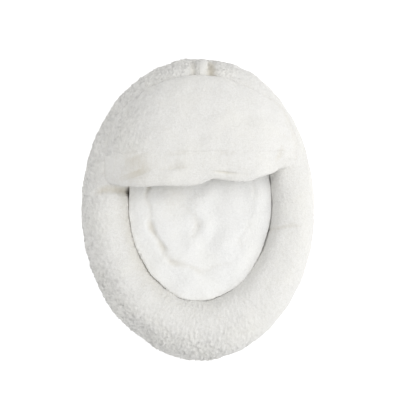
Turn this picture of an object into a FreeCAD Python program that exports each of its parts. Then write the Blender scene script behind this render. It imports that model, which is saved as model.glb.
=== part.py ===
import FreeCAD, Part
import math
import os

from FreeCAD import Vector

# Half-hooded plush pet nest, in millimetres. +Z is up, -Y is the open front, and the origin is on the
# floor below the middle of the outline. Every plan outline is an oval given by its two half axes.

# Outline and base
OUTER_HALF_X = 227.0        # outer oval of the bolster
OUTER_HALF_Y = 300.0
BOLSTER_HEIGHT = 112.0      # crest of the bolster above the floor
BULGE_HEIGHT = 50.0         # height at which the bolster is widest
BOTTOM_PANEL_THICK = 2.4    # woven non-slip panel
BOTTOM_PANEL_INSET = 17.0   # the bottom seam lies this far inside the outer oval

# Nest hollow
HOLLOW_HALF_X = 137.0
HOLLOW_HALF_Y = 193.0
HOLLOW_Y = 15.0             # the hollow's middle lies this far behind the outline's middle
BASE_PAD_THICK = 24.0
FLOOR_LINING_THICK = 2.0

# Fabric and filling
PLUSH_THICK = 2.6
LAYER_GAP = 0.4             # between two layers that are sewn or stuffed against each other
BODY_GAP = 1.2              # between two pieces that move on each other

# Hood
HOOD_CROWN_HEIGHT = 84.0    # crown above the crest of the bolster
HOOD_WALL = 25.0            # both plush layers and the batting between them
HOOD_FRONT_Y = 90.0         # plane where the hood's shell ends and its padded lip begins
HOOD_POWER = 2.3            # 2 is an ellipsoid, more is fuller
LIP_DEPTH = 58.0            # padded lip along the hood's front edge, front to back
LIP_THICK = 28.0

# Loose cushion
CUSHION_GAP_SIDE = 7.0
CUSHION_GAP_END = 10.0
CUSHION_THICK = 62.0
CUSHION_CROWN_SHARE = 0.56  # share of the thickness above the cushion's side seam
CUSHION_POWER = 2.8

# Gathered closing seam at the middle of the back
GATHER_WIDTH = 20.0
GATHER_RISE = 7.0           # how far the bunched fabric stands out of the bolster
GATHER_FOOT_ANGLE = 10.0    # where it starts and ends on the bolster's section, 0 outward and 90 up
GATHER_TOP_ANGLE = 80.0

# Bolster section
SECTION_POWER = 2.3         # 2 is an ellipse, more is fuller
SEAM_GAP_ANGLE = 1.5        # degrees left at each seam between the two bolster covers

# How finely the curved shapes are laid out
RING_SECTIONS = 24          # upright sections round the bolster
ARCH_SECTIONS = 43          # sections along the lip
DOME_SECTIONS = 12          # level sections from a dome's rim to its flat top
DOME_TOP_ANGLE = 85.0       # where the flat top starts on the dome's profile, 0 at the rim and 90 at the pole
SECTION_STEPS = 12          # spans of the spline along a bolster section or panel
HALF_OVAL_STEPS = 16        # spans of the spline along half an oval
GATHER_STEPS = 8
TANGENT_STEP = 2.0          # degrees either side of a lip section that give the arch's direction there
EDGE_SAMPLES = 5            # points that tell whether an edge lies in a plane
SEW_TOLERANCE = 1e-5
ON_PLANE = 1e-4

# Worked out
BOLSTER_BASE_Z = BOTTOM_PANEL_THICK + LAYER_GAP
CREST_HALF_X = (OUTER_HALF_X + HOLLOW_HALF_X) / 2
CREST_HALF_Y = (OUTER_HALF_Y + HOLLOW_HALF_Y) / 2
CREST_Y = HOLLOW_Y / 2
HOOD_BASE_Z = BOLSTER_HEIGHT + BODY_GAP
HOOD_HALF_X = CREST_HALF_X * math.sqrt(1 - ((HOOD_FRONT_Y - CREST_Y) / CREST_HALF_Y) ** 2)
HOOD_HALF_Y = CREST_Y + CREST_HALF_Y - HOOD_FRONT_Y
BASE_PAD_Z = BOLSTER_BASE_Z
FLOOR_LINING_Z = BASE_PAD_Z + BASE_PAD_THICK + LAYER_GAP
CUSHION_Z = FLOOR_LINING_Z + FLOOR_LINING_THICK + BODY_GAP


def arc_angles(start, end, count):
    """Evenly spaced angles from start to end, given in degrees and returned in radians."""
    return [math.radians(start + (end - start) * i / count) for i in range(count + 1)]


def power_point(half_r, half_z, power, angle):
    """Point on a superellipse quarter or full turn, as (r, z)."""
    c = math.cos(angle)
    s = math.sin(angle)
    r = half_r * math.copysign(abs(c) ** (2 / power), c)
    z = half_z * math.copysign(abs(s) ** (2 / power), s)
    return r, z


def spline(points):
    curve = Part.BSplineCurve()
    curve.interpolate(points)
    return curve.toShape()


def oval_wire(half_x, half_y, middle):
    """Level oval, longer along Y."""
    end = middle + Vector(0, half_y, 0)
    side = middle + Vector(half_x, 0, 0)
    return Part.Wire(Part.Ellipse(end, side, middle).toShape())


def oval_slab(half_x, half_y, middle_y, low_z, thick):
    """Flat oval sheet or pad."""
    outline = oval_wire(half_x, half_y, Vector(0, middle_y, low_z))
    return Part.Face(outline).extrude(Vector(0, 0, thick))


def half_oval_wire(half_x, half_y, middle):
    """The half of a level oval behind its X axis, from right to left."""
    turns = arc_angles(0, 180, HALF_OVAL_STEPS)
    return Part.Wire(spline([middle + Vector(half_x * math.cos(a), half_y * math.sin(a), 0) for a in turns]))


def dome_faces(half_x, half_y, height, power, middle, half):
    """Side and flat top of an oval dome, rim down or, with a negative height, rim up."""
    wires = []
    for angle in arc_angles(0, DOME_TOP_ANGLE, DOME_SECTIONS):
        r, z = power_point(1, height, power, angle)
        level = middle + Vector(0, 0, z)
        make = half_oval_wire if half else oval_wire
        wires.append(make(half_x * r, half_y * r, level))
    side = Part.makeLoft(wires, False, False, False).Faces[0]
    rim = edges_on(side, "z", level.z)
    if half:
        rim.append(Part.makeLine(level + Vector(half_x * r, 0, 0), level - Vector(half_x * r, 0, 0)))
    return side, Part.Face(Part.Wire(Part.__sortEdges__(rim)))


def edges_on(face, axis, value):
    """The face's real edges that lie in the plane where this coordinate has this value."""
    found = []
    for edge in face.Edges:
        points = [] if edge.Degenerated else edge.discretize(EDGE_SAMPLES)
        if points and all(abs(getattr(p, axis) - value) < ON_PLANE for p in points):
            found.append(edge)
    return found


def sewn_solid(faces):
    shell = Part.Compound(faces)
    shell.sewShape()
    solid = Part.Solid(shell.Shells[0])
    solid.fix(SEW_TOLERANCE, SEW_TOLERANCE, SEW_TOLERANCE)
    return solid


def rim_band(outer, inner, z):
    """Flat ring between the rims of two domes."""
    wires = [Part.Wire(edges_on(face, "z", z)) for face in (outer, inner)]
    return Part.Face(wires)


def block(low, high):
    size = high - low
    return Part.makeBox(size.x, size.y, size.z, low)


def one_solid(shape):
    """The single solid in a boolean's result."""
    solids = shape.Solids
    assert len(solids) == 1, "expected one solid, got %d" % len(solids)
    return solids[0]


# Bolster ring: every upright section runs from a point of the hollow's oval to the same point of the
# outer oval, so that the ring is wide at the front and narrow at the sides and back.

def ring_frame(turn):
    """Hollow-side point, outward direction and width of the ring's section at this turn."""
    inner = Vector(HOLLOW_HALF_X * math.cos(turn), HOLLOW_Y + HOLLOW_HALF_Y * math.sin(turn), 0)
    outer = Vector(OUTER_HALF_X * math.cos(turn), OUTER_HALF_Y * math.sin(turn), 0)
    across = outer - inner
    return inner, across / across.Length, across.Length


def ring_point(turn, inset, angle):
    """Point on the ring's section, inset from the fabric's outer face. Angle 0 is outward, 90 up."""
    inner, outward, width = ring_frame(turn)
    up = BOLSTER_HEIGHT - BULGE_HEIGHT
    down = BULGE_HEIGHT - BOLSTER_BASE_Z
    half_z = (up if math.sin(angle) >= 0 else down) - inset
    r, z = power_point(width / 2 - inset, half_z, SECTION_POWER, angle)
    return inner + outward * (width / 2 + r) + Vector(0, 0, BULGE_HEIGHT + z)


def ring_turns():
    return [2 * math.pi * i / RING_SECTIONS for i in range(RING_SECTIONS)]


def ring_cover(start, end):
    """One plush panel of the bolster, between two seams given as angles of the section."""
    angles = arc_angles(start, end, SECTION_STEPS)
    sections = []
    for turn in ring_turns():
        outside = [ring_point(turn, 0, a) for a in angles]
        inside = [ring_point(turn, PLUSH_THICK, a) for a in reversed(angles)]
        edges = [spline(outside), Part.makeLine(outside[-1], inside[0])]
        edges += [spline(inside), Part.makeLine(inside[-1], outside[0])]
        sections.append(Part.Wire(edges))
    return Part.makeLoft(sections, True, False, True)


def ring_solid(inset):
    """The whole bolster, inset from the fabric's outer face."""
    sections = []
    for turn in ring_turns():
        upper = [ring_point(turn, inset, a) for a in arc_angles(0, 180, SECTION_STEPS)]
        lower = [ring_point(turn, inset, a) for a in arc_angles(180, 360, SECTION_STEPS)]
        sections.append(Part.Wire([spline(upper), spline(lower)]))
    return Part.makeLoft(sections, True, False, True)


def bottom_panel():
    half_x = OUTER_HALF_X - BOTTOM_PANEL_INSET
    half_y = OUTER_HALF_Y - BOTTOM_PANEL_INSET
    return oval_slab(half_x, half_y, 0, 0, BOTTOM_PANEL_THICK)


def base_pad():
    half_x = HOLLOW_HALF_X - LAYER_GAP
    half_y = HOLLOW_HALF_Y - LAYER_GAP
    return oval_slab(half_x, half_y, HOLLOW_Y, BASE_PAD_Z, BASE_PAD_THICK)


def floor_lining():
    half_x = HOLLOW_HALF_X - LAYER_GAP
    half_y = HOLLOW_HALF_Y - LAYER_GAP
    return oval_slab(half_x, half_y, HOLLOW_Y, FLOOR_LINING_Z, FLOOR_LINING_THICK)


def bolster_outer_cover():
    return ring_cover(-90 + SEAM_GAP_ANGLE, 90 - SEAM_GAP_ANGLE)


def bolster_inner_cover():
    return ring_cover(90 + SEAM_GAP_ANGLE, 270 - SEAM_GAP_ANGLE)


def bolster_filling():
    return ring_solid(PLUSH_THICK + LAYER_GAP)


def back_gather():
    """Bunched plush over the closing seam, from the outer bulge up to the hood's back edge."""
    turn = math.pi / 2
    angles = arc_angles(GATHER_FOOT_ANGLE, GATHER_TOP_ANGLE, GATHER_STEPS)
    bases = [ring_point(turn, -LAYER_GAP, a) for a in angles]
    tops = [ring_point(turn, -LAYER_GAP - GATHER_RISE, a) for a in angles]
    edges = [spline(bases), Part.makeLine(bases[-1], tops[-1])]
    edges += [spline(list(reversed(tops))), Part.makeLine(tops[0], bases[0])]
    side = Part.Face(Part.Wire(edges))
    side.translate(Vector(-GATHER_WIDTH / 2, 0, 0))
    solid = side.extrude(Vector(GATHER_WIDTH, 0, 0))
    room = block(Vector(-GATHER_WIDTH, 0, 0), Vector(GATHER_WIDTH, OUTER_HALF_Y, HOOD_BASE_Z))
    solid = solid.common(room)
    return one_solid(solid.cut(ring_solid(-LAYER_GAP / 2)))


# Hood: nested half domes that stand on the bolster's crest, with their flat side at the front edge.

def hood_faces(inset):
    size = (HOOD_HALF_X - inset, HOOD_HALF_Y - inset, HOOD_CROWN_HEIGHT - inset)
    return dome_faces(*size, HOOD_POWER, Vector(0, HOOD_FRONT_Y, HOOD_BASE_Z), True)


def flat_band(outer, inner, axis, value, ends):
    """Flat face between matching edges of two half domes, closed by straight lines at both ends."""
    edges = [edge for face in outer + inner for edge in edges_on(face, axis, value)]
    edges += [Part.makeLine(start, end) for start, end in ends]
    return Part.Face(Part.Wire(Part.__sortEdges__(edges)))


def hood_layer(inset, thick):
    outer = hood_faces(inset)
    inner = hood_faces(inset + thick)
    ends = []
    for side in (-1, 1):
        outside = Vector(side * (HOOD_HALF_X - inset), HOOD_FRONT_Y, HOOD_BASE_Z)
        ends.append((outside, outside - Vector(side * thick, 0, 0)))
    foot = flat_band(outer, inner, "z", HOOD_BASE_Z, ends)
    front = flat_band(outer, inner, "y", HOOD_FRONT_Y, ends)
    return sewn_solid([*outer, *inner, foot, front])


def hood_outer_cover():
    return hood_layer(0, PLUSH_THICK)


def hood_batting():
    skin = PLUSH_THICK + LAYER_GAP
    return hood_layer(skin, HOOD_WALL - 2 * skin)


def hood_lining():
    return hood_layer(HOOD_WALL - PLUSH_THICK, PLUSH_THICK)


def lip_arch_point(turn):
    """Middle line of the padded lip, at the middle of the hood's wall."""
    forward = HOOD_FRONT_Y - LAYER_GAP - LIP_DEPTH / 2
    half_x = HOOD_HALF_X - HOOD_WALL / 2
    half_z = HOOD_CROWN_HEIGHT - HOOD_WALL / 2
    r, z = power_point(half_x, half_z, HOOD_POWER, turn)
    return Vector(r, forward, HOOD_BASE_Z + z)


def lip_sections(inset):
    """Oval sections of the padded lip along the arch, level where it meets the bolster's crest."""
    step = math.radians(TANGENT_STEP)
    forward = Vector(0, LIP_DEPTH / 2 - inset, 0)
    sections = []
    for i in range(ARCH_SECTIONS):
        turn = math.pi * i / (ARCH_SECTIONS - 1)
        middle = lip_arch_point(turn)
        along = lip_arch_point(turn + step) - lip_arch_point(turn - step)
        if i in (0, ARCH_SECTIONS - 1):
            along = Vector(0, 0, 1)
        outward = along.cross(forward).normalize() * (LIP_THICK / 2 - inset)
        if outward.dot(middle - Vector(0, middle.y, 0)) < 0:
            outward = -outward
        outline = Part.Ellipse(middle + forward, middle + outward, middle)
        sections.append(Part.Wire(outline.toShape()))
    return sections


def lip_cover():
    outer = lip_sections(0)
    inner = lip_sections(PLUSH_THICK)
    sides = [Part.makeLoft(sections, False, False, False).Faces[0] for sections in (outer, inner)]
    feet = [Part.Face([outer[end], inner[end]]) for end in (0, -1)]
    return sewn_solid(sides + feet)


def lip_filling():
    return Part.makeLoft(lip_sections(PLUSH_THICK + LAYER_GAP), True, False, False)


# Loose cushion: an oval puffy pad of two plush panels, sewn together round its side.

def cushion_faces(inset, up):
    """Upper or lower faces of the cushion, inset from the fabric's outer face, and their rim's height."""
    half_x = HOLLOW_HALF_X - CUSHION_GAP_SIDE - inset
    half_y = HOLLOW_HALF_Y - CUSHION_GAP_END - inset
    rise = CUSHION_THICK * CUSHION_CROWN_SHARE
    height = rise - inset if up else rise - CUSHION_THICK + inset
    gap = LAYER_GAP / 2 if up else -LAYER_GAP / 2
    middle = Vector(0, HOLLOW_Y, CUSHION_Z + CUSHION_THICK - rise + gap)
    return dome_faces(half_x, half_y, height, CUSHION_POWER, middle, False), middle.z


def cushion_cover(up):
    outer, seam_z = cushion_faces(0, up)
    inner, _ = cushion_faces(PLUSH_THICK, up)
    return sewn_solid([*outer, *inner, rim_band(outer[0], inner[0], seam_z)])


def cushion_top_cover():
    return cushion_cover(True)


def cushion_bottom_cover():
    return cushion_cover(False)


def cushion_filling():
    inset = PLUSH_THICK + LAYER_GAP
    upper, upper_z = cushion_faces(inset, True)
    lower, lower_z = cushion_faces(inset, False)
    half_x = HOLLOW_HALF_X - CUSHION_GAP_SIDE - inset
    half_y = HOLLOW_HALF_Y - CUSHION_GAP_END - inset
    side = oval_slab(half_x, half_y, HOLLOW_Y, lower_z, upper_z - lower_z).Faces[0]
    return sewn_solid([*upper, *lower, side])


NODES = {
    "bottom_panel": bottom_panel,
    "base_pad": base_pad,
    "floor_lining": floor_lining,
    "bolster_outer_cover": bolster_outer_cover,
    "bolster_inner_cover": bolster_inner_cover,
    "bolster_filling": bolster_filling,
    "back_gather": back_gather,
    "hood_outer_cover": hood_outer_cover,
    "hood_batting": hood_batting,
    "hood_lining": hood_lining,
    "lip_cover": lip_cover,
    "lip_filling": lip_filling,
    "cushion_top_cover": cushion_top_cover,
    "cushion_bottom_cover": cushion_bottom_cover,
    "cushion_filling": cushion_filling,
}

os.makedirs("parts", exist_ok=True)
for name, make in NODES.items():
    shape = make()
    shape.exportStep(os.path.join("parts", name + ".step"))
    print("%-22s %9.0f mm3  valid %s" % (name, shape.Volume, shape.isValid()))
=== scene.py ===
import math

import bpy
import numpy as np
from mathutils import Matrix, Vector


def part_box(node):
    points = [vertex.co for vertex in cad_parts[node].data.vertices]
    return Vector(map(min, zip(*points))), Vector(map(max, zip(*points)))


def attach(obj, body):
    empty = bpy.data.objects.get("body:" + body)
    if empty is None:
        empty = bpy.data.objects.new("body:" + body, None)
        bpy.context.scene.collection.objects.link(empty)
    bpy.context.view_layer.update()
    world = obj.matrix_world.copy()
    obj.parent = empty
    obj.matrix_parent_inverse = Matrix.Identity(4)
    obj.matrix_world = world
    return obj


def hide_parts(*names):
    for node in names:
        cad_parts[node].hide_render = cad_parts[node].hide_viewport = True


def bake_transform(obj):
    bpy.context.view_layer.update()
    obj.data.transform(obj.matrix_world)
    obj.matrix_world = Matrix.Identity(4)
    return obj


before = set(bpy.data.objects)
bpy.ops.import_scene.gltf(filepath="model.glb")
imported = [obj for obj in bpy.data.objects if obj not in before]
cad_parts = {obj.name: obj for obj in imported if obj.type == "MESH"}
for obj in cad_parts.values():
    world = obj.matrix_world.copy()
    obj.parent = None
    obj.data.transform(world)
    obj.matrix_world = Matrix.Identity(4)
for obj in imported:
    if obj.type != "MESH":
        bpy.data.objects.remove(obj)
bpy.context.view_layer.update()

# Half-hooded plush pet nest, in metres, in the CAD frame: +Z up, -Y the open front.

MM = 0.001
PI = math.pi


# ---------------------------------------------------------------- sizes, all from the frame

def corners(node):
    """A CAD node's lowest and highest corners."""
    low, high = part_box(node)
    return np.array(low), np.array(high)


ring_low, ring_high = corners("bolster_outer_cover")
pad_low, pad_high = corners("base_pad")
lining_low, lining_high = corners("floor_lining")
hood_low, hood_high = corners("hood_outer_cover")
lip_low, lip_high = corners("lip_cover")
bottom_low, bottom_high = corners("bottom_panel")
cushion_high = corners("cushion_top_cover")[1]
cushion_low = corners("cushion_bottom_cover")[0]

OUTER = (ring_high - ring_low)[:2] / 2 + np.array([3.0, -1.0]) * MM
HOLLOW = (pad_high - pad_low)[:2] / 2
HOLLOW_Y = (pad_high + pad_low)[1] / 2
CREST_Z = ring_high[2]
RING_BASE = ring_low[2]
BULGE_Z = 50 * MM
NEST_SHIFT = 5 * MM                      # the filling has settled thicker on the left
STEEP_POWER = 2.9                        # roundness of the bolster's section towards the hollow
GENTLE_POWER = 1.9                       # the same where the filling has slumped
CREST_POWER = 2.15                       # roundness of its section over the top, to the outside
FOOT_POWER = 2.9                         # and below its widest level
SLUMP_TURN = 1.22 * PI                   # where the filling has slumped, round the bed from the right
SLUMP_SPREAD = 0.75

HOOD_HALF = np.array([hood_high[0], hood_high[1] - hood_low[1], hood_high[2] - hood_low[2]])
HOOD_ORIGIN = np.array([0, hood_low[1], hood_low[2]])
HOOD_WALL = 25 * MM
HOOD_POWER = 2.3
LIP_FRONT = lip_low[1]
LIP_DEPTH = lip_high[1] - lip_low[1]
LIP_OVERLAP = 9 * MM                     # how far the lip runs on over the hood's front edge
LIP_SHY = 0.3 * MM                       # how far its back stays below the hood's face

GATHER_X = 8 * MM
CUSHION_WIDEST_Z = 83 * MM
CUSHION_PRESS = 9 * MM                   # how much wider than the hollow's floor it would be if let out
CUSHION_CLEARANCE = 1.8 * MM
PILE_SIZE = 9 * MM                       # width of the clumps whose valleys get painted shade from the plush's fold shade colour

# one seed for each piece's noise
BOLSTER_SEED = 11
HOOD_SEED = 131                          # the lip has the same, so that the two run on from each other
CUSHION_SEED = 331
GATHER_SEED = 441
FLOOR_SEED = 501
FLOOR_PILE_SEED = 511


# ---------------------------------------------------------------- relief

def waves(points, seed, length, count=26):
    """Smooth noise of about unit spread, with features about this long, from a sum of plane waves."""
    rng = np.random.RandomState(seed)
    directions = rng.normal(size=(count, 3))
    directions /= np.linalg.norm(directions, axis=1)[:, None]
    lengths = length * rng.uniform(0.75, 1.35, count)
    phases = rng.uniform(0, 2 * PI, count)
    turns = points @ (directions * (2 * PI / lengths)[:, None]).T + phases
    return np.sin(turns).sum(axis=1) * math.sqrt(2 / count)


def tufts(points, seed, length):
    """Clumps of pile: rounded tops with narrow valleys between them, from 0 to about 1."""
    sway = np.stack([waves(points, seed + k, 2.2 * length, 12) for k in range(3)], 1)
    bent = points + 0.35 * length * sway
    a = np.abs(waves(bent, seed + 5, 2 * length, 18))
    b = np.abs(waves(bent, seed + 9, 1.6 * length, 18))
    return np.clip(np.minimum(a, b) * 1.6, 0, 1) ** 0.6


def bell(distance, width):
    """1 at no distance, falling smoothly to about a third at this width."""
    return np.exp(-(distance / width) ** 2)


def ramp(value, low, high):
    """0 up to low, 1 from high on, and smooth between them."""
    t = np.clip((value - low) / (high - low), 0, 1)
    return t * t * (3 - 2 * t)


def stretch(value, start, full, fade, end):
    """0 before start, 1 from full to fade, and 0 again after end."""
    return ramp(value, start, full) * ramp(-value, -end, -fade)


# ---------------------------------------------------------------- mesh helpers

def grid_faces(rows, columns, wrap_rows, wrap_columns):
    """Quads between neighbouring points of a grid, which may close on itself either way."""
    r = np.arange(rows if wrap_rows else rows - 1)
    c = np.arange(columns if wrap_columns else columns - 1)
    r, c = np.meshgrid(r, c, indexing="ij")
    r2, c2 = (r + 1) % rows, (c + 1) % columns
    quads = [r * columns + c, r2 * columns + c, r2 * columns + c2, r * columns + c2]
    return np.stack(quads, -1).reshape(-1, 4)


def mesh_object(name, points, faces):
    mesh = bpy.data.meshes.new(name)
    mesh.from_pydata(points.tolist(), [], faces.tolist() if hasattr(faces, "tolist") else faces)
    mesh.validate()
    mesh.update()
    for polygon in mesh.polygons:
        polygon.use_smooth = True
    piece = bpy.data.objects.new(name, mesh)
    bpy.context.scene.collection.objects.link(piece)
    return piece


def read_points(piece):
    co = np.empty(len(piece.data.vertices) * 3)
    piece.data.vertices.foreach_get("co", co)
    return co.reshape(-1, 3)


def read_normals(piece):
    normals = np.empty(len(piece.data.vertices) * 3, np.float32)
    piece.data.vertex_normals.foreach_get("vector", normals)
    return normals.reshape(-1, 3).astype(float)


def write_points(piece, points):
    piece.data.vertices.foreach_set("co", points.astype(np.float32).ravel())
    piece.data.update()


def push(piece, amount):
    """Moves every point along its normal."""
    write_points(piece, read_points(piece) + read_normals(piece) * amount[:, None])


def set_fold_shade(piece, fold):
    """Painted shade for each point, 0 to 1, mostly deeper in folds: how far the plush material's colour is
    darkened towards its warm fold shade colour.
    """
    layer = piece.data.attributes.new("fold", "FLOAT", "POINT")
    layer.data.foreach_set("value", np.clip(fold, 0, 1).astype(np.float32))


def pile_relief(points, seed, brushed=1.0):
    """Filling lumps, soft waves, clumps of pile and single tips, in metres. brushed raises the pile."""
    lumps = 0.7 * MM * waves(points, seed, 130 * MM)
    soft = 0.5 * MM * waves(points, seed + 20, 38 * MM)
    clumps = 0.5 * MM * (tufts(points, seed + 40, 7 * MM) - 0.6)
    fine = 0.25 * MM * waves(points, seed + 60, 5 * MM)
    tips = 0.5 * MM * np.random.RandomState(seed + 80).normal(size=len(points))
    return lumps + soft + brushed * (clumps + fine + np.clip(tips, -1.0 * MM, 1.0 * MM))


def apply_modifier(piece, modifier):
    bpy.context.view_layer.objects.active = piece
    bpy.ops.object.modifier_apply(modifier=modifier.name)


def plump(piece, pinned, cap):
    """Swells a stuffed piece with a cloth simulation, so that its fabric puckers. pinned(points) gives 0
    to 1 for how firmly a seam holds each point, and no point moves further than cap."""
    voxel = 5 * MM
    least_hold = 0.05
    last_frame = 20
    remesh = piece.modifiers.new("remesh", "REMESH")
    remesh.mode = "VOXEL"
    remesh.voxel_size = voxel
    apply_modifier(piece, remesh)
    start = read_points(piece)
    hold = pinned(start)
    seam = piece.vertex_groups.new(name="seam")
    for index in np.nonzero(hold > least_hold)[0].tolist():
        seam.add([index], float(hold[index]), "REPLACE")
    cloth = piece.modifiers.new("cloth", "CLOTH")
    cloth.settings.vertex_group_mass = seam.name
    cloth.settings.mass = 0.3
    cloth.settings.tension_stiffness = 12
    cloth.settings.compression_stiffness = 12
    cloth.settings.bending_stiffness = 0.6
    cloth.settings.use_pressure = True
    cloth.settings.uniform_pressure_force = 4
    cloth.settings.effector_weights.gravity = 0
    scene = bpy.context.scene
    for number in range(1, last_frame + 1):
        scene.frame_set(number)
    swollen = piece.evaluated_get(bpy.context.evaluated_depsgraph_get()).to_mesh()
    ended = np.empty(len(swollen.vertices) * 3)
    swollen.vertices.foreach_get("co", ended)
    piece.modifiers.remove(cloth)
    scene.frame_set(1)
    move = ended.reshape(-1, 3) - start
    far = np.linalg.norm(move, axis=1)
    move *= np.minimum(1, cap / np.maximum(far, 1e-9))[:, None]
    write_points(piece, start + move)
    smoother = piece.modifiers.new("smoother", "SUBSURF")
    smoother.levels = 1
    apply_modifier(piece, smoother)
    for polygon in piece.data.polygons:
        polygon.use_smooth = True


# ---------------------------------------------------------------- bolster

def signed_power(value, power):
    """Turns a sine or cosine into a superellipse's, of this roundness."""
    return np.sign(value) * np.abs(value) ** (2 / power)


def even_section(count, inner_power):
    """Bolster section as (across, up), each from -1 to 1, with points evenly spaced along it."""
    fine_count = 1441
    half_width, half_height = 50, 55
    a = np.linspace(0, 2 * PI, fine_count)
    powers = np.where(np.sin(a) > 0, np.where(np.cos(a) > 0, CREST_POWER, inner_power), FOOT_POWER)
    across = signed_power(np.cos(a), powers)
    up = signed_power(np.sin(a), powers)
    steps = np.hypot(np.diff(across) * half_width, np.diff(up) * half_height)
    along = np.concatenate([[0], np.cumsum(steps)])
    wanted = np.linspace(0, along[-1], count, endpoint=False)
    return np.interp(wanted, along, across), np.interp(wanted, along, up)


def ring_ends(turn):
    """Hollow's and outline's points at these turns. The outline is fuller behind on the right and slimmer
    in front on the left, as the filling has settled."""
    inner = np.stack([NEST_SHIFT + HOLLOW[0] * np.cos(turn), HOLLOW_Y + HOLLOW[1] * np.sin(turn)], -1)
    back_right, back_left, front_left = 0.95, 2.4, 4.1
    settle = 1 + 0.022 * (bell(turn - back_right, 0.5) - bell(turn - front_left, 0.6))
    settle += 0.006 * bell(turn - back_left, 0.5)
    outer = np.stack([OUTER[0] * np.cos(turn) * settle, OUTER[1] * np.sin(turn) * settle], -1)
    return inner, outer


def slackness(turn):
    """1 where the bolster slopes gently into the hollow, at the front left, and 0 where it's steep."""
    return bell(turn - SLUMP_TURN, SLUMP_SPREAD)


def inside_wall(points, clearance):
    """Points drawn in where they would come nearer than clearance to the bolster's wall."""
    off = (points[:, :2] - [NEST_SHIFT, HOLLOW_Y]) / HOLLOW
    turn = np.arctan2(off[:, 1], off[:, 0]) % (2 * PI)
    inner, outer = ring_ends(turn)
    up = np.clip((points[:, 2] - BULGE_Z) / (CREST_Z - BULGE_Z), 0, 1)
    steep = (1 - up ** STEEP_POWER) ** (1 / STEEP_POWER)
    gentle = (1 - up ** GENTLE_POWER) ** (1 / GENTLE_POWER)
    slack = slackness(turn)
    room = np.linalg.norm(outer - inner, axis=1) * (1 - (1 - slack) * steep - slack * gentle) / 2
    limit = 1 + (room - clearance) / HOLLOW[0]
    drawn = np.minimum(1, limit / np.maximum(np.hypot(off[:, 0], off[:, 1]), 1e-9))
    kept = points.copy()
    kept[:, :2] = [NEST_SHIFT, HOLLOW_Y] + off * drawn[:, None] * HOLLOW
    return kept


def gather_folds(x, y, z):
    """Hollows beside the bunched seam at the back, and the pleats that spread from it."""
    left_x, left_width = -10 * MM, 6 * MM
    right_x, right_width = 26 * MM, 8 * MM
    pleat_length, pleat_reach = 5.5 * MM, 34 * MM
    high_back = ramp(y, 0.6 * OUTER[1], 0.8 * OUTER[1]) * ramp(z, 66 * MM, 96 * MM)
    hollows = (0.6 * bell(x - left_x, left_width) + 1.3 * bell(x - right_x, right_width)) * high_back
    side = np.abs(x - GATHER_X)
    pleats = np.cos(side / pleat_length) * np.exp(-side / pleat_reach) * high_back
    return hollows, pleats


def side_folds(x, y, upper):
    """A thin crease over the right side, and a deep fold over the left one from the lip's end."""
    crease_y, crease_slope, crease_width = -42 * MM, 0.12, 3.2 * MM
    fold_y, fold_slope, fold_width = 30 * MM, 0.10, 7 * MM
    side_x = 160 * MM
    crease = 0.5 * bell(y - crease_y - crease_slope * (x - side_x), crease_width) * upper
    crease *= stretch(x, 128 * MM, 146 * MM, 188 * MM, 205 * MM)
    waver = 3 * MM * np.sin(x / (16 * MM))
    fold = bell(y - fold_y - fold_slope * (x + side_x) - waver, fold_width) * upper
    fold *= stretch(-x, 118 * MM, 135 * MM, 180 * MM, 214 * MM)
    return crease, fold


def left_wall_shade(x, y, upper):
    """Strip along the hollow's left wall, painted with shade: there the plush's colour is drawn towards
    its warm, darker fold shade colour.
    """
    from_hollow = np.hypot(x - NEST_SHIFT, (y - HOLLOW_Y) * HOLLOW[0] / HOLLOW[1]) - HOLLOW[0]
    strip = bell(from_hollow - 8 * MM, 14 * MM) * upper
    return strip * ramp(-x, 20 * MM, 100 * MM) * ramp(-y, -70 * MM, 10 * MM)


def bolster_pile(x, y):
    """How far the bolster's pile stands up: most along the outer rim, in front and on the left."""
    rim = ramp(np.hypot(x / OUTER[0], y / OUTER[1]), 0.74, 0.92) * ramp(-x, -150 * MM, -20 * MM)
    rim *= 0.55 + 0.45 * ramp(np.abs(y), 80 * MM, 170 * MM)
    return 0.55 + 0.5 * ramp(-x - 0.55 * y, -20 * MM, 150 * MM) + 1.5 * rim


def bolster(turns=640, around=150):
    """The stuffed ring: a section that changes round the bed, then its folds and pile."""
    turn = np.linspace(0, 2 * PI, turns, endpoint=False)
    inner, outer = ring_ends(turn)
    steep, gentle = even_section(around, STEEP_POWER), even_section(around, GENTLE_POWER)
    slack = slackness(turn)[:, None]
    across, up = ((1 - slack) * first + slack * second for first, second in zip(steep, gentle))
    plan = inner[:, None, :] + (outer - inner)[:, None, :] * (across[..., None] + 1) / 2
    height = BULGE_Z + np.where(up > 0, up * (CREST_Z - BULGE_Z), up * (BULGE_Z - RING_BASE))
    points = np.concatenate([plan, height[..., None]], -1)
    piece = mesh_object("bolster_plush", points.reshape(-1, 3), grid_faces(turns, around, True, True))

    rest = read_points(piece)
    x, y, z = rest.T
    upper = ramp(z, 25 * MM, 60 * MM)
    hollows, pleats = gather_folds(x, y, z)
    crease, fold = side_folds(x, y, upper)
    relief = pile_relief(rest, BOLSTER_SEED, bolster_pile(x, y)) * ramp(z, RING_BASE, 22 * MM)
    relief += -7 * MM * hollows + 1.0 * MM * pleats - 3.5 * MM * crease - 6 * MM * fold
    push(piece, relief)
    moved = read_points(piece)
    moved[:, 2] = np.maximum(moved[:, 2], RING_BASE)
    write_points(piece, moved)
    valley_shade = 1 - tufts(rest, BOLSTER_SEED + 40, PILE_SIZE)
    # painted shade: darker, warmer plush in the pile's valleys, the hollows beside the back seam, the
    # right crease, the left fold and along the hollow's left wall
    depth = 0.25 * valley_shade + 0.7 * hollows + 0.6 * crease + 0.7 * fold
    set_fold_shade(piece, depth + 0.3 * left_wall_shade(x, y, upper))
    return piece


# ---------------------------------------------------------------- hood and lip

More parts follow.
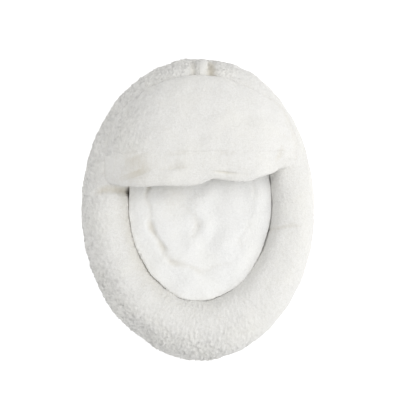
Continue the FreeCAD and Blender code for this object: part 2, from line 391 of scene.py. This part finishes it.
def dome_points(a, b, inset):
    """Point on the hood's dome, inset from its outer face. a runs over the arch, b from front to back."""
    half = HOOD_HALF - inset[..., None]
    direction = np.stack([np.cos(a) * np.cos(b), np.sin(b) + 0 * a, np.sin(a) * np.cos(b)], -1)
    plan = np.hypot(direction[..., 0], direction[..., 1])
    reach = (plan ** HOOD_POWER + np.abs(direction[..., 2]) ** HOOD_POWER) ** (-1 / HOOD_POWER)
    return HOOD_ORIGIN + half * direction * reach[..., None]


def closed_strip(name, points):
    """Closed mesh from loops (rows, around): every row is a closed loop and both end rows are capped."""
    rows, around = points.shape[:2]
    faces = grid_faces(rows, around, False, True).tolist()
    half = around // 2
    for row, flip in ((0, False), (rows - 1, True)):
        base = row * around
        for i in range(half - 1):
            quad = [base + i, base + i + 1, base + around - 2 - i, base + around - 1 - i]
            faces.append(quad[::-1] if flip else quad)
        if around % 2:
            tip = [base + half - 1, base + half, base + half + 1]
            faces.append(tip[::-1] if flip else tip)
    return mesh_object(name, points.reshape(-1, 3), faces)


def seat_feet(points, outward, flare):
    """Spreads the hood's feet and sinks them into the bolster's crest, as a sewn edge sits."""
    height = np.maximum(points[:, 2] - HOOD_ORIGIN[2], 0)
    points = points + outward * (flare * np.exp(-height / (14 * MM)))[:, None]
    points[:, 2] -= 15 * MM * np.exp(-height / (8 * MM))
    return points


def front_lean(x):
    """How far the lip stands back at this x: it is drawn back to the right, and wavers."""
    steps = 9 * MM * ramp(x, 5 * MM, 32 * MM) + 24 * MM * ramp(x, 88 * MM, 165 * MM)
    steps += 26 * MM * ramp(np.abs(x), 138 * MM, 205 * MM)
    return steps + 1.8 * MM * np.sin(x / (27 * MM) + 0.8) + 1.2 * MM * np.sin(x / (14 * MM))


def pulled_back(y):
    """Share of front_lean at this y: all of it at the lip's front edge, less towards the hood's crown."""
    crown_y = HOOD_ORIGIN[1] + 50 * MM
    return 1 - 0.8 * ramp(y, LIP_FRONT, HOOD_ORIGIN[1]) - 0.2 * ramp(y, HOOD_ORIGIN[1], crown_y)


def drape_front(points, x, y):
    """Draws the hood's front back and lets it sag, most at the lip's front edge and its two ends."""
    share = pulled_back(y)
    above = np.maximum(points[:, 2] - HOOD_ORIGIN[2], 0)
    sag = 0.10 * bell(x, 110 * MM) + 0.45 * ramp(np.abs(x), 110 * MM, 185 * MM)
    points[:, 1] += front_lean(x) * share
    points[:, 2] -= above * share * sag
    return points


def hem_spots(x):
    """Where the seam behind the lip is drawn in: two short stretches."""
    return bell(x + 38 * MM, 20 * MM) + bell(x - 54 * MM, 22 * MM)


def corner_crumple(x, y):
    """Folds at the two ends of the lip, as (relief in metres, painted shade in the folds from 0 to 1)."""
    left = bell(x + 118 * MM, 30 * MM) * bell(y - 62 * MM, 30 * MM)
    wrinkles = np.sin((y - 0.35 * x) / (4.6 * MM)) * left
    right = bell(x - 156 * MM - 0.25 * (y - 85 * MM), 5 * MM) * bell(y - 82 * MM, 20 * MM)
    relief = -1.6 * MM * wrinkles - 2.0 * MM * left - 3.5 * MM * right
    return relief, 0.35 * left + 0.4 * left * (wrinkles > 0.2) + 0.45 * right


def hood_foot_shade(z):
    """Painted shade along the hood's sewn foot: 1 at the foot, and 0 from 12 mm above it."""
    return 1 - ramp(z, HOOD_ORIGIN[2], HOOD_ORIGIN[2] + 12 * MM)


def hood(arch=210, back=84):
    """The hood's padded wall, from the lip's seam to its sewn back edge."""
    front_radius = 2 * MM
    last_angle = PI / 2 - 0.02
    a = np.linspace(0, PI, arch)
    b = last_angle * np.linspace(0, 1, back) ** 1.15
    a, b = np.meshgrid(a, b, indexing="ij")
    depth = b / (PI / 2) * HOOD_HALF[1]
    round_front = np.sqrt(np.clip(1 - (1 - np.clip(depth / front_radius, 0, 1)) ** 2, 0, 1))
    swell = HOOD_WALL / 2 * round_front
    outer = dome_points(a, b, HOOD_WALL / 2 - swell)
    inner = dome_points(a, b, HOOD_WALL / 2 + swell)
    loops = np.concatenate([outer[:, ::-1], inner[:, 1:]], 1)
    piece = closed_strip("hood_plush", loops)

    rest = read_points(piece)
    x, y, z = rest.T
    outside = ramp(np.einsum("ij,ij->i", read_normals(piece), rest - HOOD_ORIGIN), -0.01, 0.01)
    dent = bell(np.hypot(x - 93 * MM, y - 158 * MM), 26 * MM)
    rise = bell(np.hypot(x - 125 * MM, y - 140 * MM), 20 * MM)
    relief = pile_relief(rest, HOOD_SEED, 0.32 + 1.0 * ramp(-x, 60 * MM, 140 * MM))
    hem = bell(y - HOOD_ORIGIN[1], 5 * MM) * hem_spots(x) * outside
    relief += outside * (-3.5 * MM * dent + 2.5 * MM * rise) - 2.5 * MM * hem
    relief += outside * 0.6 * MM * waves(rest * np.array([0.6, 1.6, 1]), HOOD_SEED + 40, 60 * MM)
    crumple, crumple_shade = corner_crumple(x, y)
    relief += outside * crumple
    push(piece, relief)
    outward = np.stack([x / HOOD_HALF[0] ** 2, (y - HOOD_ORIGIN[1]) / HOOD_HALF[1] ** 2, 0 * x], -1)
    outward /= np.linalg.norm(outward, axis=1)[:, None] + 1e-9
    flare = (11 * MM + 14 * MM * ramp(x, -60 * MM, 100 * MM)) * outside
    flare *= 1 - 0.9 * ramp(y - 0.5 * np.abs(x), 110 * MM, 215 * MM)
    write_points(piece, drape_front(seat_feet(read_points(piece), outward, flare), x, y))
    valley_shade = 1 - tufts(rest, HOOD_SEED + 40, PILE_SIZE)
    # painted shade: the pile's valleys, the sewn foot, the inner face under the dome, the drawn-in hem and
    # the crumpled corners darken the plush colour
    fold = 0.25 * valley_shade + 0.25 * hood_foot_shade(z) + 0.35 * (1 - outside) + 0.2 * hem
    set_fold_shade(piece, fold + outside * crumple_shade)
    return piece


def lip_folds(x, y):
    """Two short folds along the lip, and the bump in front of the left one."""
    left_x, right_x = -42 * MM, 52 * MM
    back = y - LIP_FRONT
    left = bell(back - 31 * MM - 0.06 * (x + 40 * MM), 2.4 * MM) * bell(x - left_x, 24 * MM)
    right = bell(back - 14 * MM, 2.6 * MM) * bell(x - right_x, 26 * MM)
    bump = bell(back - 22 * MM, 8 * MM) * bell(x - left_x, 22 * MM)
    return left + right, bump


def lip(arch=220, around=110):
    """The rolled edge along the hood's front."""
    a = np.linspace(0, PI, arch)
    q = np.linspace(0, 2 * PI, around, endpoint=False)
    half_x = HOOD_HALF[0] - HOOD_WALL / 2
    half_z = HOOD_HALF[2] - HOOD_WALL / 2
    arch_x = half_x * signed_power(np.cos(a), HOOD_POWER)
    arch_z = half_z * signed_power(np.sin(a), HOOD_POWER)
    middle = np.stack([arch_x, 0 * a, arch_z], -1)
    along = np.gradient(middle, axis=0)
    along[0] = along[-1] = (0, 0, 1)
    outward = np.stack([along[:, 2], 0 * a, -along[:, 0]], -1)
    outward /= np.linalg.norm(outward, axis=1)[:, None]
    outward *= np.sign(np.einsum("ij,ij->i", outward, middle + [0, 0, 1e-4]))[:, None]
    half_depth = (LIP_DEPTH + LIP_OVERLAP) / 2
    middle[:, 1] = LIP_FRONT + half_depth
    middle[:, 2] += HOOD_ORIGIN[2]
    # a rolled front and a square back, which lies flush on the hood
    square = 9
    swell = 1 + 0.12 * bell(np.cos(q) - 0.45, 0.45)
    section_y = -half_depth * signed_power(np.cos(q), np.where(np.cos(q) > 0, 2.5, square))
    section_n = (HOOD_WALL / 2 - LIP_SHY) * swell
    section_n = section_n * signed_power(np.sin(q), np.where(np.cos(q) > 0, 2.3, square))
    points = middle[:, None, :] + outward[:, None, :] * section_n[None, :, None]
    points = points + np.array([0, 1, 0]) * section_y[None, :, None]
    piece = closed_strip("lip_plush", points[:, ::-1])

    rest = read_points(piece)
    x, y, z = rest.T
    top = ramp(read_normals(piece)[:, 2], 0.1, 0.6)
    creases, bump = lip_folds(x, y)
    creases = top * creases
    hem = bell(y - HOOD_ORIGIN[1], 5 * MM) * hem_spots(x) * top
    relief = pile_relief(rest, HOOD_SEED, 0.4)
    relief += -4.5 * MM * creases + 2.5 * MM * bump * top - 2.5 * MM * hem
    relief += 0.6 * MM * top * waves(rest, HOOD_SEED + 140, 40 * MM)
    crumple, crumple_shade = corner_crumple(x, y)
    relief += top * crumple
    push(piece, relief)
    outward = np.stack([np.sign(x), 0 * x, 0 * x], -1)
    away = ramp(np.einsum("ij,ij->i", read_normals(piece), outward), -0.6, 0.6)
    flare = (15 * MM + 12 * MM * ramp(x, -60 * MM, 100 * MM)) * away
    write_points(piece, drape_front(seat_feet(read_points(piece), outward, flare), x, y))
    # painted shade: the underside facing down, the pile's valleys, the sewn foot, the creases and the
    # drawn-in hem darken the plush colour
    under = ramp(-read_normals(piece)[:, 2], 0.0, 0.5)
    valley_shade = 1 - tufts(rest, HOOD_SEED + 40, PILE_SIZE)
    fold = 0.25 * valley_shade + 0.3 * hood_foot_shade(z) + 0.4 * creases + 0.3 * under + 0.2 * hem
    set_fold_shade(piece, fold + top * crumple_shade)
    return piece


# ---------------------------------------------------------------- cushion

def cube_sphere(cuts):
    """Directions of a sphere made from a cube's six faces, with shared points welded, and its faces."""
    u = np.tan(np.linspace(-PI / 4, PI / 4, cuts + 1))
    s, t = np.meshgrid(u, u, indexing="ij")
    one = np.ones_like(s)
    sides = [(s, t, one), (t, s, -one), (one, s, t), (-one, t, s), (t, one, s), (s, -one, t)]
    points = np.concatenate([np.stack(side, -1).reshape(-1, 3) for side in sides])
    count = (cuts + 1) ** 2
    faces = np.concatenate([grid_faces(cuts + 1, cuts + 1, False, False) + k * count for k in range(6)])
    weld = 1e-5
    keys = np.round(points / weld).astype(np.int64)
    _, first, back = np.unique(keys, axis=0, return_index=True, return_inverse=True)
    points = points[first]
    return points / np.linalg.norm(points, axis=1)[:, None], back.reshape(-1)[faces]


def puffy_oval(name, half, middle, up, down, power, cuts):
    """Closed oval pad: half is its half width and half length, up and down its heights above and below
    the middle. A higher power gives fuller edges, and cuts is how finely each side is divided."""
    direction, faces = cube_sphere(cuts)
    plan = np.hypot(direction[:, 0], direction[:, 1])
    reach = (plan ** power + np.abs(direction[:, 2]) ** power) ** (-1 / power)
    height = np.where(direction[:, 2] > 0, up, down)
    scale = np.stack([half[0] + 0 * height, half[1] + 0 * height, height], -1)
    points = middle + direction * reach[:, None] * scale
    return mesh_object(name, points, faces)


def ring_fold(points, radius, turn):
    """The fold that wanders round inside the cushion's rim, deepest on the left. radius is 1 at the rim,
    and turn is in degrees."""
    ring_radius = 0.70
    wander = 0.020 * waves(points, CUSHION_SEED + 60, 60 * MM)
    width = 0.028 + 0.012 * np.clip(waves(points, CUSHION_SEED + 62, 45 * MM), -1, 1)
    ring = bell(radius - ring_radius - wander, width)
    ring *= np.clip(0.8 + 0.35 * waves(points, CUSHION_SEED + 64, 38 * MM), 0.3, 1.2)
    left = bell(np.abs(turn) - 165, 26) + bell(turn + 130, 24)
    front = 0.45 * bell(turn + 92, 22)
    right = 0.25 * bell(turn - 8, 14) + 0.25 * bell(turn + 40, 24)
    return ring * np.clip(left + front + right, 0, 1)


def pressed_swirl(x, y):
    """The dent, ridge and basin that an animal has pressed into the cushion's middle."""
    dent_x = x + 6 * MM + 0.35 * (y + 52 * MM) ** 2 / (20 * MM)
    dent = bell(dent_x, 8 * MM) * bell(y + 52 * MM, 24 * MM)
    ridge = bell(x - 12 * MM, 10 * MM) * bell(y + 62 * MM, 34 * MM)
    basin = bell(np.hypot(x - 38 * MM, y + 48 * MM), 30 * MM)
    return dent, ridge, basin


def cushion():
    """The loose cushion: swollen by the simulation, then folded, and held off the bolster's wall."""
    half = HOLLOW + CUSHION_PRESS
    middle = np.array([NEST_SHIFT, HOLLOW_Y, CUSHION_WIDEST_Z])
    up = cushion_high[2] - CUSHION_WIDEST_Z
    down = CUSHION_WIDEST_Z - cushion_low[2]
    piece = puffy_oval("cushion_plush", half, middle, up, down, 4.0, 60)
    slimmer = [0.985, 0.985, 0.85]
    write_points(piece, middle + (read_points(piece) - middle) * slimmer)
    plump(piece, lambda points: bell(points[:, 2] - CUSHION_WIDEST_Z, 4 * MM), 9 * MM)

    rest = read_points(piece)
    x, y, z = (rest - middle).T
    top = ramp(read_normals(piece)[:, 2], 0.05, 0.4)
    radius = np.hypot(x / half[0], y / half[1])
    turn = np.degrees(np.arctan2(y, x))
    ring = ring_fold(rest, radius, turn)
    dent, ridge, basin = pressed_swirl(x, y)
    left_rim = bell(radius - 0.95, 0.07) * bell(np.abs(turn) - 180, 60) * top
    under_lip = bell(y - 62 * MM, 46 * MM) * bell(x, 100 * MM)
    relief = pile_relief(rest, CUSHION_SEED, 0.45)
    relief += top * (-5.0 * MM * ring - 3 * MM * dent + 2.0 * MM * ridge - 3 * MM * basin)
    relief += top * 1.2 * MM * waves(rest, CUSHION_SEED + 46, 55 * MM) - 3 * MM * left_rim
    relief += top * 9 * MM * under_lip
    push(piece, relief)
    points = inside_wall(read_points(piece), CUSHION_CLEARANCE)
    points[:, 2] = np.maximum(points[:, 2], cushion_low[2])
    write_points(piece, points)

    # painted shade: the pile's valleys, the wandering ring fold, the pressed dent and the rim beside the
    # bolster's wall darken the plush colour; a patch left of the middle gets the same warm, darker colour
    valley_shade = 1 - tufts(rest, CUSHION_SEED + 40, PILE_SIZE)
    edge = ramp(radius, 0.86, 1.0)
    warm = 0.30 * bell(np.hypot(x + 52 * MM, y - 8 * MM), 34 * MM)
    set_fold_shade(piece, 0.2 * valley_shade + 0.7 * ring + 0.35 * dent + 0.2 * edge + warm)
    return piece


# ---------------------------------------------------------------- small and hidden pieces

def back_gather(rows=40, around=28):
    """Bunched plush over the closing seam at the middle of the back."""
    low_angle, high_angle = 24, 86
    half_wide, half_high = 8 * MM, 3 * MM
    angle = np.radians(np.linspace(low_angle, high_angle, rows))
    inner_y, outer_y = HOLLOW_Y + HOLLOW[1], OUTER[1]
    y = (inner_y + outer_y) / 2 + (outer_y - inner_y) / 2 * signed_power(np.cos(angle), CREST_POWER)
    z = BULGE_Z + (CREST_Z - BULGE_Z) * signed_power(np.sin(angle), CREST_POWER)
    line = np.stack([GATHER_X + 3 * MM * np.sin(angle * 2.5), y, z], -1)
    along = np.gradient(line, axis=0)
    out = np.stack([0 * y, along[:, 2], -along[:, 1]], -1)
    out /= np.linalg.norm(out, axis=1)[:, None]
    out *= np.sign(out[:, 1] + out[:, 2])[:, None]
    taper = np.sin(np.linspace(0.12, PI - 0.12, rows)) ** 0.5
    q = np.linspace(0, 2 * PI, around, endpoint=False)
    wide = half_wide * taper[:, None] * np.cos(q)[None, :]
    high = half_high * taper[:, None] * np.sin(q)[None, :]
    points = line[:, None, :] + out[:, None, :] * high[..., None] + np.array([1, 0, 0]) * wide[..., None]
    piece = closed_strip("back_gather_plush", points[:, ::-1])
    rest = read_points(piece)
    pile = tufts(rest, GATHER_SEED, 7 * MM)
    push(piece, 0.9 * MM * (pile - 0.5))
    # painted shade between the pile's tufts
    set_fold_shade(piece, 0.3 * (1 - pile))
    return piece


def nest_floor():
    """The pad and its plush lining on the floor of the hollow, under the cushion."""
    half = (lining_high - lining_low)[:2] / 2
    middle_z = (pad_low[2] + lining_high[2]) / 2
    middle = np.array([NEST_SHIFT, HOLLOW_Y, middle_z])
    rise = (lining_high[2] - pad_low[2]) / 2 - 1 * MM
    piece = puffy_oval("nest_floor_plush", half, middle, rise, rise, 5, 44)
    rest = read_points(piece)
    pile = tufts(rest, FLOOR_PILE_SEED, 12 * MM)
    push(piece, 0.6 * MM * waves(rest, FLOOR_SEED, 40 * MM) + 0.5 * MM * (pile - 0.8))
    # painted shade between the tufts, and the whole lining drawn a fifth of the way to the warm fold shade
    # colour
    set_fold_shade(piece, 0.3 * (1 - pile) + 0.2)
    return piece


def bottom_sheet():
    half = (bottom_high - bottom_low)[:2] / 2
    middle = (bottom_high + bottom_low) / 2
    half_thick = (bottom_high - bottom_low)[2] / 2
    return puffy_oval("bottom_panel_sheet", half, middle, half_thick, half_thick, 6, 40)


# ---------------------------------------------------------------- materials

def new_material(name):
    material = bpy.data.materials.new(name)
    material.use_nodes = True
    tree = material.node_tree
    shader = tree.nodes["Principled BSDF"]
    place = tree.nodes.new("ShaderNodeTexCoord")
    return material, tree, shader, place.outputs["Object"]


def noise_node(tree, place, size, detail=3.0, roughness=0.6):
    """Noise whose features are about this many metres across."""
    node = tree.nodes.new("ShaderNodeTexNoise")
    node.inputs["Scale"].default_value = 1 / size
    node.inputs["Detail"].default_value = detail
    node.inputs["Roughness"].default_value = roughness
    tree.links.new(place, node.inputs["Vector"])
    return node.outputs["Fac"]


def ramp_node(tree, value, low, high, to_low=0.0, to_high=1.0):
    node = tree.nodes.new("ShaderNodeMapRange")
    node.inputs["From Min"].default_value = low
    node.inputs["From Max"].default_value = high
    node.inputs["To Min"].default_value = to_low
    node.inputs["To Max"].default_value = to_high
    tree.links.new(value, node.inputs["Value"])
    return node.outputs["Result"]


def mix_node(tree, factor, first, second):
    """Mix of two colours. Each is a colour or another node's output."""
    node = tree.nodes.new("ShaderNodeMix")
    node.data_type = "RGBA"
    tree.links.new(factor, node.inputs["Factor"])
    for key, value in (("A", first), ("B", second)):
        socket = [s for s in node.inputs if s.name == key and s.type == "RGBA"][0]
        if isinstance(value, tuple):
            socket.default_value = (*value, 1)
        else:
            tree.links.new(value, socket)
    return [s for s in node.outputs if s.type == "RGBA"][0]


def bump_node(tree, height, distance, strength, before=None):
    node = tree.nodes.new("ShaderNodeBump")
    node.inputs["Distance"].default_value = distance
    node.inputs["Strength"].default_value = strength
    tree.links.new(height, node.inputs["Height"])
    if before is not None:
        tree.links.new(before, node.inputs["Normal"])
    return node.outputs["Normal"]


def plush(name, tip, root_shade, warm, fold_shade_colour, sheen):
    """Short dense pile: bright tips, a darker root colour painted as shade deep in the pile between clumps
    and spread by fine fibre noise, random warm patches, and a warm darker colour painted as shade wherever
    the fold attribute is set.
    """
    material, tree, shader, place = new_material(name)
    fibres = noise_node(tree, place, 1.6 * MM, 2.0)
    clumps = noise_node(tree, place, 6 * MM, 3.0)
    patches = noise_node(tree, place, 60 * MM, 2.0)
    fold = tree.nodes.new("ShaderNodeAttribute")
    fold.attribute_name = "fold"
    # painted shade: fine fibre noise and the gaps between clumps draw the colour towards the darker root
    # shade
    colour = mix_node(tree, ramp_node(tree, fibres, 0.3, 0.62), root_shade, tip)
    colour = mix_node(tree, ramp_node(tree, clumps, 0.62, 0.3, 0.0, 0.35), colour, root_shade)
    colour = mix_node(tree, ramp_node(tree, patches, 0.42, 0.68, 0.0, 0.3), colour, warm)
    # painted shade: the fold attribute draws the colour towards the warm, darker fold shade colour
    colour = mix_node(tree, ramp_node(tree, fold.outputs["Fac"], 0.1, 1.0, 0.0, 0.85), colour, fold_shade_colour)
    tree.links.new(colour, shader.inputs["Base Color"])
    tree.links.new(ramp_node(tree, clumps, 0.3, 0.7, 0.88, 1.0), shader.inputs["Roughness"])
    normal = bump_node(tree, clumps, 2.2 * MM, 0.55)
    normal = bump_node(tree, fibres, 1.0 * MM, 0.6, normal)
    tree.links.new(normal, shader.inputs["Normal"])
    shader.inputs["Specular IOR Level"].default_value = 0.15
    shader.inputs["Sheen Weight"].default_value = sheen
    shader.inputs["Sheen Roughness"].default_value = 0.55
    return material


def bottom_fabric():
    """Matt coated weave for the underside."""
    material, tree, shader, place = new_material("bottom_fabric_weave")
    weave = tree.nodes.new("ShaderNodeTexChecker")
    weave.inputs["Scale"].default_value = 1 / (2.2 * MM)
    tree.links.new(place, weave.inputs["Vector"])
    grain = noise_node(tree, place, 3 * MM)
    colour = mix_node(tree, ramp_node(tree, grain, 0.3, 0.7), (0.5, 0.5, 0.49), (0.62, 0.62, 0.6))
    tree.links.new(colour, shader.inputs["Base Color"])
    tree.links.new(ramp_node(tree, grain, 0.3, 0.7, 0.6, 0.8), shader.inputs["Roughness"])
    tree.links.new(bump_node(tree, weave.outputs["Fac"], 0.3 * MM, 0.5), shader.inputs["Normal"])
    return material


# ---------------------------------------------------------------- build

def finish_piece(piece, material, slot_name, *nodes):
    piece.data.materials.clear()
    piece.data.materials.append(material)
    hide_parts(*nodes)
    return piece


SHEEN = 0.2
# each plush: tip colour, darker root colour painted as shade in the pile, warm tint of random patches,
# warm darker colour painted as shade in folds, sheen
OUTER_PLUSH = plush("plush_outer", (0.885, 0.88, 0.86), (0.75, 0.74, 0.71), (0.87, 0.86, 0.80),
                    (0.66, 0.62, 0.53), SHEEN)
CUSHION_PLUSH = plush("plush_cushion", (0.95, 0.95, 0.94), (0.86, 0.86, 0.845), (0.93, 0.925, 0.88),
                      (0.72, 0.69, 0.62), SHEEN)
INNER_PLUSH = plush("plush_inner", (0.86, 0.85, 0.82), (0.70, 0.69, 0.65), (0.82, 0.81, 0.76),
                    (0.6, 0.57, 0.5), SHEEN)

bolster_piece = finish_piece(bolster(), OUTER_PLUSH, "plush_outer",
                             "bolster_outer_cover", "bolster_inner_cover", "bolster_filling")
hood_piece = finish_piece(hood(), OUTER_PLUSH, "plush_outer",
                          "hood_outer_cover", "hood_batting", "hood_lining")
lip_piece = finish_piece(lip(), OUTER_PLUSH, "plush_outer", "lip_cover", "lip_filling")
cushion_piece = finish_piece(cushion(), CUSHION_PLUSH, "plush_cushion",
                             "cushion_top_cover", "cushion_bottom_cover", "cushion_filling")
gather_piece = finish_piece(back_gather(), OUTER_PLUSH, "plush_outer", "back_gather")
floor_piece = finish_piece(nest_floor(), INNER_PLUSH, "plush_inner", "base_pad", "floor_lining")
bottom_piece = finish_piece(bottom_sheet(), bottom_fabric(), "bottom_fabric", "bottom_panel")

for piece in (bolster_piece, gather_piece, floor_piece, bottom_piece):
    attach(piece, "nest")
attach(cushion_piece, "cushion")

for piece in (hood_piece, lip_piece):
    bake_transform(piece)


# ---------------------------------------------------------------- floor, light and camera

def pale_floor():
    side = 30.0
    drop = 0.5 * MM
    points = np.array([[-side, -side, 0], [side, -side, 0], [side, side, 0], [-side, side, 0]])
    floor = mesh_object("floor", points - [0, 0, drop], np.array([[0, 1, 2, 3]]))
    material, tree, shader, place = new_material("pale_floor")
    grain = noise_node(tree, place, 0.4)
    colour = mix_node(tree, ramp_node(tree, grain, 0.3, 0.7), (0.93, 0.93, 0.93), (0.95, 0.95, 0.95))
    tree.links.new(colour, shader.inputs["Base Color"])
    shader.inputs["Roughness"].default_value = 0.9
    shader.inputs["Specular IOR Level"].default_value = 0.1
    shader.inputs["Emission Color"].default_value = (1, 1, 1, 1)
    shader.inputs["Emission Strength"].default_value = 0.4
    floor.data.materials.append(material)


def aim(thing, target):
    direction = Vector(target) - thing.location
    thing.rotation_euler = direction.to_track_quat("-Z", "Y").to_euler()


def soft_light(name, place, size, power):
    light = bpy.data.lights.new(name, "AREA")
    light.size = size
    light.energy = power
    lamp = bpy.data.objects.new(name, light)
    bpy.context.scene.collection.objects.link(lamp)
    lamp.location = place
    aim(lamp, (0, 0, 0.05))


def studio():
    """Soft white surroundings, a gentle key light from the right and a wide one above."""
    world = bpy.data.worlds.new("studio")
    world.use_nodes = True
    world.node_tree.nodes["Background"].inputs["Color"].default_value = (1, 1, 1, 1)
    world.node_tree.nodes["Background"].inputs["Strength"].default_value = 0.53
    bpy.context.scene.world = world
    soft_light("key_right", (2.2, 0.0, 1.6), 1.4, 20.5)
    soft_light("top_soft", (0.0, -0.1, 2.8), 2.0, 27)
    bpy.context.scene.view_settings.view_transform = "Standard"


def camera(elevation=84.0, distance=2.1, lens=95.5, target=(0.004, 0.016, 0.06)):
    data = bpy.data.cameras.new("camera")
    data.lens = lens
    eye = bpy.data.objects.new("camera", data)
    bpy.context.scene.collection.objects.link(eye)
    tilt = math.radians(elevation)
    eye.location = Vector(target) + distance * Vector((0, -math.cos(tilt), math.sin(tilt)))
    aim(eye, target)
    bpy.context.scene.camera = eye


pale_floor()
studio()
camera()
